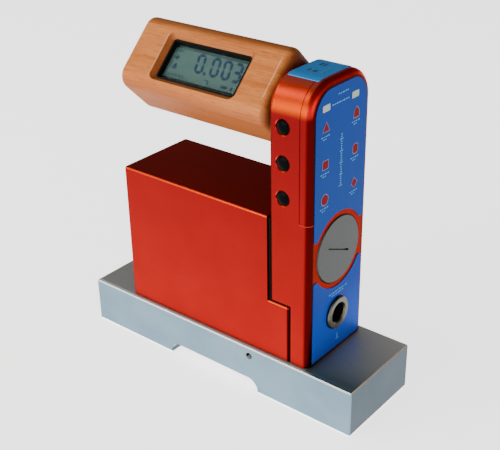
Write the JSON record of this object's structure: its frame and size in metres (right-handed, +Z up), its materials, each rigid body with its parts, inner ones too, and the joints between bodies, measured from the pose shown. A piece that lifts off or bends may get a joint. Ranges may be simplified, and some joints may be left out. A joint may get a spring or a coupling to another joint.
{
  "type": "electronic level",
  "caption": "Bench electronic level: ground steel base, red sensor housing and column, turning wooden grip with a display, side keys, screwed battery cap and data socket.",
  "frame": {"origin": "middle of the steel base's underside", "axes": "+X along the base towards the battery cap, -Y the side the display faces, +Z up"},
  "size_m": [0.15, 0.045, 0.1527],
  "materials": {
    "ground_steel": "finely ground, satin",
    "screw_steel": "oiled steel",
    "red_anodised": "satin red anodised",
    "black_seal": "matt",
    "blue_foil": "satin printed foil",
    "beech": "oiled, fine grain",
    "black_plastic": "fine moulded",
    "clear_window": "clear, polished",
    "lcd_glass": "grey-green",
    "board": "solder mask",
    "chip": "moulded",
    "turned_steel": "turned, satin",
    "nickel": "nickel plated",
    "brass": "turned",
    "key_rubber": "glossy",
    "cell_can": "plain wrapped can",
    "sleeve": "moulded",
    "cradle": "milled",
    "ceramic": "fired",
    "wire": "sheathed"
  },
  "bodies": {
    "root": {"base": "ground_steel", "base_screws": "screw_steel", "base_gasket": "black_seal", "sensor_housing": "red_anodised", "joint_seal": "black_seal", "column_body": "red_anodised", "front_cover": "red_anodised", "cover_screws": "screw_steel", "upper_label": "blue_foil", "lower_label": "blue_foil", "top_label": "blue_foil", "pivot_bush": "black_plastic", "stop_pin": "screw_steel", "key_carrier": "black_plastic", "front_key_board": "board", "rear_key_board": "board", "front_key_switches": "chip", "rear_key_switches": "chip", "battery_sleeve": "sleeve", "rear_contact": "brass", "battery_cell": "cell_can", "connector_shell": "nickel", "connector_insert": "black_plastic", "connector_contacts": "brass", "connector_nut": "brass", "sensor_bracket": "cradle", "sensor_clamp": "cradle", "internal_screws": "screw_steel", "sensor_shell": "turned_steel", "sensor_caps": "turned_steel", "sensor_electrodes": "brass", "sensor_spacers": "ceramic", "sensor_flexure": "brass", "board_posts": "brass", "main_board": "board", "board_components": "chip", "wiring_harness": "wire"},
    "handle": {"handle_grip": "beech", "display_frame": "black_plastic", "display_window": "clear_window", "lcd_panel": "lcd_glass", "contact_strips": "black_seal", "display_board": "board", "display_lead": "wire", "pivot_tube": "turned_steel", "flange_screws": "screw_steel", "friction_washer": "turned_steel", "pivot_nut": "brass"},
    "cap_contact": {"contact_plunger": "brass", "contact_spring": "turned_steel"},
    "cap": {"battery_cap": "turned_steel", "cap_seal": "black_seal"},
    "pendulum": {"sensor_mass": "turned_steel"},
    "front_key_1": {"front_button_1": "key_rubber"},
    "front_key_2": {"front_button_2": "key_rubber"},
    "front_key_3": {"front_button_3": "key_rubber"},
    "rear_key_1": {"rear_button_1": "key_rubber"},
    "rear_key_2": {"rear_button_2": "key_rubber"},
    "rear_key_3": {"rear_button_3": "key_rubber"}
  },
  "joints": [
    {"name": "handle_turn", "type": "hinge", "parent": "root", "child": "handle", "pos_m": [0.0317, 0, 0.13175], "axis": [1, 0, 0], "range_deg": [-135, 45]},
    {"name": "cap_travel", "type": "slide", "parent": "root", "child": "cap_contact", "axis": [1, 0, 0], "range_m": [0, 0.0045]},
    {"name": "cap_turn", "type": "hinge", "parent": "cap_contact", "child": "cap", "pos_m": [0.0499, 0, 0.072], "axis": [1, 0, 0], "range_deg": [0, 1081]},
    {"name": "pendulum_shift", "type": "slide", "parent": "root", "child": "pendulum", "axis": [1, 0, 0], "range_m": [-0.0001, 0.0001], "stiffness_N_per_m": 300},
    {"name": "front_key_1_press", "type": "slide", "parent": "root", "child": "front_key_1", "axis": [0, 1, 0], "range_m": [0, 0.0008], "stiffness_N_per_m": 1500},
    {"name": "front_key_2_press", "type": "slide", "parent": "root", "child": "front_key_2", "axis": [0, 1, 0], "range_m": [0, 0.0008], "stiffness_N_per_m": 1500},
    {"name": "front_key_3_press", "type": "slide", "parent": "root", "child": "front_key_3", "axis": [0, 1, 0], "range_m": [0, 0.0008], "stiffness_N_per_m": 1500},
    {"name": "rear_key_1_press", "type": "slide", "parent": "root", "child": "rear_key_1", "axis": [0, -1, 0], "range_m": [0, 0.0008], "stiffness_N_per_m": 1500},
    {"name": "rear_key_2_press", "type": "slide", "parent": "root", "child": "rear_key_2", "axis": [0, -1, 0], "range_m": [0, 0.0008], "stiffness_N_per_m": 1500},
    {"name": "rear_key_3_press", "type": "slide", "parent": "root", "child": "rear_key_3", "axis": [0, -1, 0], "range_m": [0, 0.0008], "stiffness_N_per_m": 1500}
  ],
  "couplings": [
    {"joint": "cap_turn", "follows": "cap_travel", "rad_per_m": 4188.8}
  ]
}
